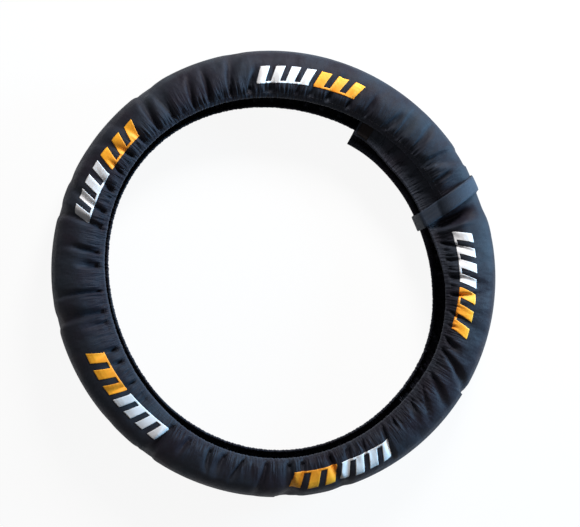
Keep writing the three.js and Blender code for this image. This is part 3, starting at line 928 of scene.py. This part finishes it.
def scaled(tree, source, scale):
    mapping = addNode(tree, "Mapping", {"Scale": scale})
    join(tree, source, mapping, "Vector")
    return mapping.outputs["Vector"]


def cloudy(tree, source, scale, detail=3, roughness=0.55):
    noise = addNode(tree, "TexNoise", {"Scale": scale, "Detail": detail, "Roughness": roughness})
    join(tree, source, noise, "Vector")
    return noise.outputs["Fac"]


def remap(tree, value, old, new):
    sockets = ("From Min", "From Max", "To Min", "To Max")
    node = addNode(tree, "MapRange", dict(zip(sockets, (*old, *new))))
    join(tree, value, node, "Value")
    return node.outputs[0]


def mixColours(tree, share, first, second):
    mix = addNode(tree, "Mix", data_type="RGBA")
    join(tree, share, mix, 0)
    fill(tree, first, mix.inputs[6])
    fill(tree, second, mix.inputs[7])
    return mix.outputs[2]


def addBump(tree, shader, layers):
    normal = None
    for height, strength, distance in layers:
        bump = addNode(tree, "Bump", {"Strength": strength, "Distance": distance})
        join(tree, height, bump, "Height")
        if normal is not None:
            join(tree, normal, bump, "Normal")
        normal = bump.outputs["Normal"]
    join(tree, normal, shader, "Normal")


def splitPlace(tree, uv):
    split = addNode(tree, "SeparateXYZ")
    join(tree, uv, split, 0)
    return split.outputs


def ribs(tree, distance, pitch):
    turns = calc(tree, "MULTIPLY", distance, math.pi / pitch)
    return calc(tree, "ABSOLUTE", calc(tree, "SINE", turns))


def roughen(tree, shader, patches, span, least):
    join(tree, calc(tree, "MULTIPLY_ADD", patches, span, least), shader, "Roughness")


def addSheen(shader, weight, tint):
    shader.inputs["Sheen Weight"].default_value = weight
    shader.inputs["Sheen Roughness"].default_value = 0.35
    shader.inputs["Sheen Tint"].default_value = (*tint, 1)


# Plain weave: threads pass over and under each other in a checker
def weave(tree, uv, pitch):
    split = splitPlace(tree, uv)
    waves = [ribs(tree, split[axis], pitch) for axis in (0, 1)]
    checker = addNode(tree, "TexChecker", {"Scale": 1 / pitch})
    join(tree, uv, checker, "Vector")
    over = calc(tree, "MULTIPLY", waves[0], checker.outputs["Fac"])
    under = calc(tree, "MULTIPLY", waves[1], calc(tree, "SUBTRACT", 1, checker.outputs["Fac"]))
    return calc(tree, "ADD", over, under)


def clothMaterial():
    material, tree, shader, uv, spot = startMaterial("wovenCloth", finishes["cloth"], 0.55, 0.10)
    fabric = weave(tree, uv, 0.00045)
    slub = cloudy(tree, scaled(tree, uv, (60, 900, 1)), 1, 2)
    patches = cloudy(tree, spot, 16, 4)
    dust = calc(tree, "MULTIPLY_ADD", patches, 2.4, -0.9, clamp=True)
    base = mixColours(tree, dust, finishes["cloth"], finishes["clothPale"])
    # The folded hem edge is painted paler and bluer: partly wear, and partly a painted highlight where it
    # catches the light
    split = splitPlace(tree, uv)
    front = calc(tree, "ABSOLUTE", calc(tree, "SUBTRACT", split[1], face["hemV"]))
    back = calc(tree, "ABSOLUTE",
                calc(tree, "SUBTRACT", split[1], sleeveWidth - face["hemV"]))
    nearest = calc(tree, "MINIMUM", front, back)
    edge = remap(tree, nearest, (0, 0.0035), (0.75, 0))
    worn = calc(tree, "MULTIPLY", edge, calc(tree, "ADD", patches, 0.35), clamp=True)
    base = mixColours(tree, worn, base, finishes["clothWornAndHighlight"])
    threads = calc(tree, "MULTIPLY_ADD", slub, 0.5, 0.75)
    tone = addNode(tree, "HueSaturation")
    join(tree, base, tone, "Color")
    join(tree, threads, tone, "Value")
    join(tree, tone.outputs["Color"], shader, "Base Color")
    roughen(tree, shader, patches, 0.22, 0.50)
    # Fine creases run across the strip near the hems, crumples everywhere
    creases = cloudy(tree, scaled(tree, uv, (230, 26, 1)), 1, 2)
    creases = calc(tree, "MULTIPLY", creases, remap(tree, nearest, (0.050, 0.012), (0, 1)))
    crumple = cloudy(tree, scaled(tree, uv, (26, 15, 1)), 1, 3, 0.5)
    addBump(tree, shader, [(crumple, 1, 0.0060), (creases, 1, 0.0038), (fabric, 0.35, 0.00012)])
    addSheen(shader, 0.035, (0.72, 0.84, 1.0))
    return material


def webbingMaterial(name, colour, pitch):
    material, tree, shader, uv, spot = startMaterial(name, colour, 0.5, 0.14)
    split = splitPlace(tree, uv)
    # Herringbone: the slope of the ribs turns back every few millimetres
    zigzag = calc(tree, "PINGPONG", split[1], 0.003)
    slope = calc(tree, "ADD", split[0], zigzag)
    twill = ribs(tree, slope, pitch)
    cords = ribs(tree, split[1], pitch * 0.8)
    patches = cloudy(tree, spot, 60, 3)
    pale = tuple(min(1, value * 1.7) for value in colour)
    dark = shade(colour, 0.7)
    base = mixColours(tree, patches, dark, pale)
    base = mixColours(tree, calc(tree, "MULTIPLY", twill, 0.45), base, pale)
    join(tree, base, shader, "Base Color")
    roughen(tree, shader, patches, 0.25, 0.42)
    addBump(tree, shader, [(patches, 0.4, 0.0006), (cords, 0.5, 0.00018), (twill, 0.6, 0.00025)])
    addSheen(shader, 0.08, (0.75, 0.86, 1.0))
    return material


def printMaterial(name, colour, lighter):
    material, tree, shader, uv, spot = startMaterial(name, colour, 0.5)
    split = splitPlace(tree, uv)
    across = calc(tree, "MULTIPLY", split[1], 1 / prints["height"], clamp=True)
    cloud = cloudy(tree, spot, 70, 3)
    base = mixColours(tree, across, colour, lighter)
    soiled = calc(tree, "MULTIPLY_ADD", cloud, 1.6, -0.75, clamp=True)
    base = mixColours(tree, calc(tree, "MULTIPLY", soiled, 0.35), base,
                      shade(colour, 0.72))
    # Hairline cracks where the ink has been folded
    cells = addNode(tree, "TexVoronoi", {"Scale": 1}, feature="DISTANCE_TO_EDGE")
    join(tree, scaled(tree, uv, (260, 120, 1)), cells, "Vector")
    cracks = remap(tree, cells.outputs["Distance"], (0, 0.035), (1, 0))
    worn = calc(tree, "MULTIPLY", cracks,
                calc(tree, "MULTIPLY_ADD", cloudy(tree, spot, 38, 2), 1.6, -0.7, clamp=True))
    base = mixColours(tree, calc(tree, "MULTIPLY", worn, 0.5), base,
                      shade(colour, 0.35))
    join(tree, base, shader, "Base Color")
    roughen(tree, shader, cloud, 0.2, 0.42)
    fabric = weave(tree, uv, 0.00045)
    crumple = cloudy(tree, scaled(tree, uv, (120, 60, 1)), 1, 3)
    addBump(tree, shader, [(crumple, 0.5, 0.0006), (fabric, 0.3, 0.00008), (worn, -0.3, 0.0001)])
    return material


def tapeMaterial():
    # The tape's base colour carries painted shade as well as its own dark brown
    material, tree, shader, uv, spot = startMaterial("endTape", finishes["tape"], 0.7, 0.05)
    fabric = weave(tree, uv, 0.0006)
    patches = cloudy(tree, spot, 45, 3)
    base = mixColours(tree, patches, shade(finishes["tape"], 0.6),
                      shade(finishes["tape"], 1.25))
    join(tree, base, shader, "Base Color")
    roughen(tree, shader, patches, 0.2, 0.45)
    addBump(tree, shader, [(patches, 0.5, 0.001), (fabric, 0.4, 0.00015)])
    return material


# Thread and pile: a cloudy height, or round tips where no detail is given
def fuzzyMaterial(name, colour, roughness, scale, detail, dark, bump):
    material, tree, shader, uv, spot = startMaterial(name, colour, roughness)
    if detail:
        height = cloudy(tree, spot, scale, detail)
    else:
        tips = addNode(tree, "TexVoronoi", {"Scale": scale})
        join(tree, spot, tips, "Vector")
        height = tips.outputs["Distance"]
    join(tree, mixColours(tree, height, shade(colour, dark), shade(colour, 2)), shader, "Base Color")
    addBump(tree, shader, [(height, *bump)])
    return material


def wear(piece, material, slot, *nodes):
    piece.data.materials.clear()
    piece.data.materials.append(material)
    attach(piece, "root")
    if nodes:
        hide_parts(*nodes)


wear(sleevePiece, clothMaterial(), "cloth", "cover_sleeve")
strapLook = webbingMaterial("strapWebbing", finishes["webbing"], 0.0011)
wear(strapPiece, strapLook, "webbing", "closure_strap")
loopPile = fuzzyMaterial("loopPile", finishes["hook"], 0.8, 630, 4, 0.6, (0.8, 0.0005))
hookPile = fuzzyMaterial("hookPile", finishes["hook"], 0.8, 800, 0, 0.6, (0.8, 0.0005))
wear(loopPad, loopPile, "hook_and_loop", "strap_loop_pad")
wear(hookPad, hookPile, "hook_and_loop", "strap_hook_pad")
wear(bandPiece, tapeMaterial(), "tape", "tail_end_band")
threadLook = fuzzyMaterial("sewingThread", finishes["thread"], 0.5, 900, 2, 1, (0.5, 0.0001))
for piece in stitchPieces:
    wear(piece, threadLook, "cloth")
whiteInk = printMaterial("whiteInk", finishes["white"], finishes["white"])
orangeInk = printMaterial("orangeInk", finishes["orange"], finishes["orangeLight"])
for node, piece in printPieces.items():
    ink, slot = (whiteInk, "white_print") if "white" in node else (orangeInk, "orange_print")
    wear(piece, ink, slot, node)
elasticLook = webbingMaterial("wovenElastic", finishes["elastic"], 0.0015)
for node, piece in elasticPieces.items():
    wear(piece, elasticLook, "elastic", node)
report("finishes")

# Studio: pale floor, soft lights, camera above the ring
studio = {
    "lens": 51.0,
    "cameraAt": (-0.0888, -0.0198, 1.345),
    "aimAt": (0.0196, 0.0145, 0.045),
    "ceiling": {"at": (0.45, 1.35, 0.90), "width": 0.5, "power": 39, "colour": (1.0, 0.99, 0.98)},
    "window": {"at": (1.9, 0.45, 0.50), "width": 0.7, "power": 92, "colour": (0.36, 0.70, 1.0)},
    "worldLight": 0.09,
    "floorGlow": 0.92,
    "bounce": 0.45,
}


def seenRays(tree):
    path = addNode(tree, "LightPath")
    mirrored = calc(tree, "MAXIMUM", path.outputs["Is Glossy Ray"], path.outputs["Is Transmission Ray"])
    return calc(tree, "MAXIMUM", path.outputs["Is Camera Ray"], mirrored)


def buildStudio():
    size = 6
    points = np.array([[-size, -size, 0], [size, -size, 0], [size, size, 0], [-size, size, 0]], float)
    floor = makeMesh("floor", points, np.array([[0, 1, 2, 3]]))
    material, tree, shader, uv, spot = startMaterial("paperFloor", finishes["floor"], 0.9, 0.1)
    seen = seenRays(tree)
    bounce = (studio["bounce"],) * 3
    join(tree, mixColours(tree, seen, bounce, finishes["floor"]), shader, "Base Color")
    glow = addNode(tree, "Emission")
    mixed = addNode(tree, "MixShader")
    join(tree, calc(tree, "MULTIPLY", seen, studio["floorGlow"]), mixed, 0)
    join(tree, shader.outputs[0], mixed, 1)
    join(tree, glow.outputs[0], mixed, 2)
    join(tree, mixed.outputs[0], tree.nodes["Material Output"], 0)
    floor.data.materials.append(material)

    world = bpy.data.worlds.new("studioWorld")
    world.use_nodes = True
    bpy.context.scene.world = world
    tree = world.node_tree
    background = tree.nodes["Background"]
    background.inputs["Color"].default_value = (1, 1, 1, 1)
    seen = seenRays(tree)
    tree.links.new(calc(tree, "MULTIPLY_ADD", seen, 1 - studio["worldLight"], studio["worldLight"]),
              background.inputs["Strength"])

    for name in ("ceiling", "window"):
        values = studio[name]
        light = bpy.data.lights.new(name + "Light", "AREA")
        light.shape = "DISK"
        light.size = values["width"]
        light.energy = values["power"]
        light.color = values["colour"]
        aim(addObject(name + "Light", light), values["at"], (0, 0, 0.05))

    camera = bpy.data.cameras.new("camera")
    camera.lens = studio["lens"]
    camera.sensor_width = 36
    viewer = addObject("camera", camera)
    aim(viewer, studio["cameraAt"], studio["aimAt"])
    bpy.context.scene.camera = viewer
    bpy.context.scene.view_settings.view_transform = "Standard"


# Points an object's -Z at a target with its X level to the ring's X
def aim(thing, place, target):
    ahead = np.array(target, float) - place
    ahead /= np.linalg.norm(ahead)
    right = np.cross(ahead, (0, 1, 0))
    right /= np.linalg.norm(right)
    up = np.cross(right, ahead)
    matrix = np.eye(4)
    matrix[:3, 0], matrix[:3, 1], matrix[:3, 2], matrix[:3, 3] = right, up, -ahead, place
    thing.matrix_world = Matrix(matrix.tolist())


buildStudio()
report("studio")
